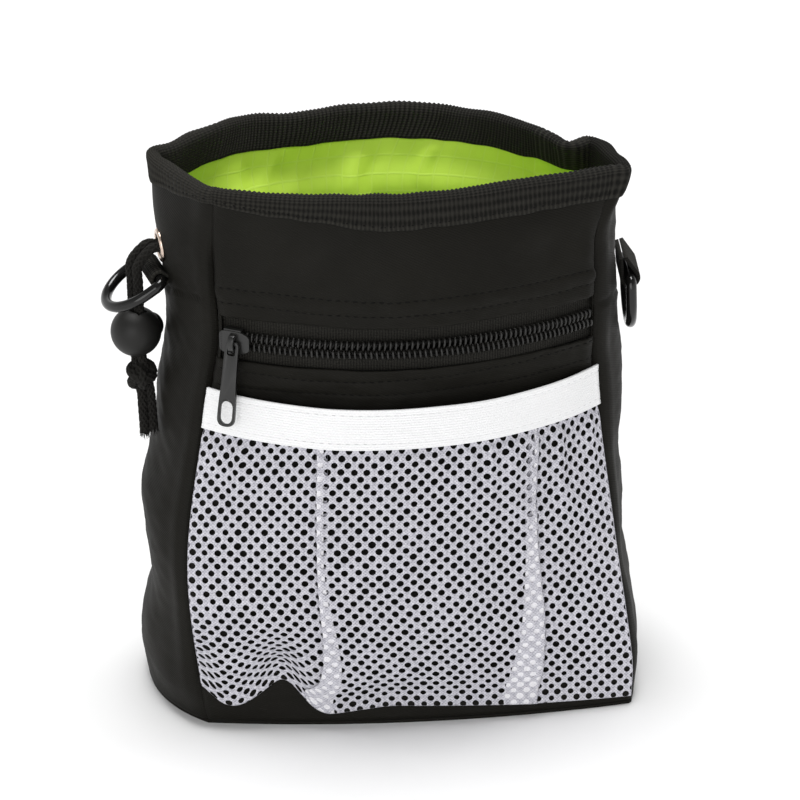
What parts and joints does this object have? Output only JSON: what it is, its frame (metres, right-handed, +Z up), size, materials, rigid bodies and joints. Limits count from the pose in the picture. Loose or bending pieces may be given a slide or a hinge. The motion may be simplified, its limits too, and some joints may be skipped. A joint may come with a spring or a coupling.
{
  "type": "treat pouch",
  "caption": "Black fabric treat pouch with a bright lined drawstring mouth, a curved front zip, a white mesh front pocket, side rings on webbing tabs, a cord stop and a belt clip.",
  "frame": {"origin": "on the underside of the base, in line with the belt clip", "axes": "+Z up through the mouth, -Y out of the mesh pocket side, +X towards the wearer's left"},
  "size_m": [0.1711, 0.1079, 0.176],
  "materials": {
    "black_fabric": "fine plain weave nylon, matt, with a faint sheen",
    "grosgrain": "ribbed binding tape, matt",
    "lining_fabric": "bright lime-green ripstop, slight gloss",
    "mesh_fabric": "off-white knitted mesh with round holes",
    "elastic": "off-white woven elastic band",
    "webbing": "ribbed black webbing, matt",
    "zip_tape": "woven zip tape, matt",
    "zip_coil": "nylon zip coil, satin",
    "slider_metal": "dark gunmetal enamel, semi-gloss",
    "nickel": "warm nickel plate, smooth",
    "cord_fabric": "braided black polyester cord",
    "stop_plastic": "moulded black plastic, satin",
    "spring_steel": "drawn spring wire",
    "ring_plastic": "moulded black plastic, glossy",
    "clip_steel": "sprung steel, black powder coat",
    "rivet_steel": "plated steel"
  },
  "bodies": {
    "bag": {"base_panel": "black_fabric", "front_panel_upper": "black_fabric", "front_panel_lower": "black_fabric", "back_panel": "black_fabric", "right_gusset_lower": "black_fabric", "right_gusset_upper": "black_fabric", "left_gusset_lower": "black_fabric", "left_gusset_upper": "black_fabric", "lining_wall": "lining_fabric", "lining_floor": "lining_fabric", "mouth_binding": "grosgrain", "mesh_pocket": "mesh_fabric", "pocket_top_band": "elastic", "zip_pocket_backing": "black_fabric", "zip_tape_upper": "zip_tape", "zip_coil_upper": "zip_coil", "zip_tape_lower": "zip_tape", "zip_coil_lower": "zip_coil", "eyelet_ring": "nickel", "eyelet_washer": "nickel", "drawstring_loop": "cord_fabric", "cord_strand_a": "cord_fabric", "cord_tail_a": "cord_fabric", "cord_strand_b": "cord_fabric", "cord_tail_b": "cord_fabric", "cord_knot": "cord_fabric", "left_ring_tab": "webbing", "right_ring_tab": "webbing", "back_patch": "webbing", "belt_clip_base": "clip_steel", "clip_rivet_upper": "rivet_steel", "clip_rivet_lower": "rivet_steel"},
    "zip_slider": {"zip_slider": "slider_metal"},
    "zip_pull": {"zip_pull": "slider_metal"},
    "cord_stop": {"cord_stop_body": "stop_plastic", "cord_stop_spring": "spring_steel"},
    "cord_stop_button": {"cord_stop_button": "stop_plastic"},
    "left_d_ring": {"left_d_ring": "ring_plastic"},
    "right_d_ring": {"right_d_ring": "ring_plastic"},
    "belt_clip_leg": {"belt_clip_leg": "clip_steel"}
  },
  "joints": [
    {"name": "zip_travel", "type": "hinge", "parent": "bag", "child": "zip_slider", "pos_m": [0.002, 0.06243, 0.129], "axis": [0, 0, 1], "range_deg": [0, 60]},
    {"name": "pull_swing", "type": "hinge", "parent": "zip_slider", "child": "zip_pull", "pos_m": [-0.05284, -0.0303, 0.129], "axis": [-0.8607, 0.509, 0], "range_deg": [0, 140]},
    {"name": "cord_stop_slide", "type": "slide", "parent": "bag", "child": "cord_stop", "axis": [0, 0, 1], "range_m": [-0.0016, 0.0036]},
    {"name": "button_press", "type": "slide", "parent": "cord_stop", "child": "cord_stop_button", "axis": [-0.766, -0.6428, 0], "range_m": [0, 0.002], "stiffness_N_per_m": 120, "deforming": ["cord_stop_spring"]},
    {"name": "left_ring_swing", "type": "hinge", "parent": "bag", "child": "left_d_ring", "pos_m": [-0.0743, 0.003, 0.141], "axis": [-0.1807, 0.9835, 0], "range_deg": [0, 55]},
    {"name": "right_ring_swing", "type": "hinge", "parent": "bag", "child": "right_d_ring", "pos_m": [0.0758, -0.003, 0.1356], "axis": [-0.1203, -0.9927, 0], "range_deg": [0, 150]},
    {"name": "belt_clip_flex", "type": "hinge", "parent": "bag", "child": "belt_clip_leg", "pos_m": [0, 0.0522, 0.1457], "axis": [1, 0, 0], "range_deg": [0, 10], "stiffness_Nm_per_rad": 0.5}
  ]
}
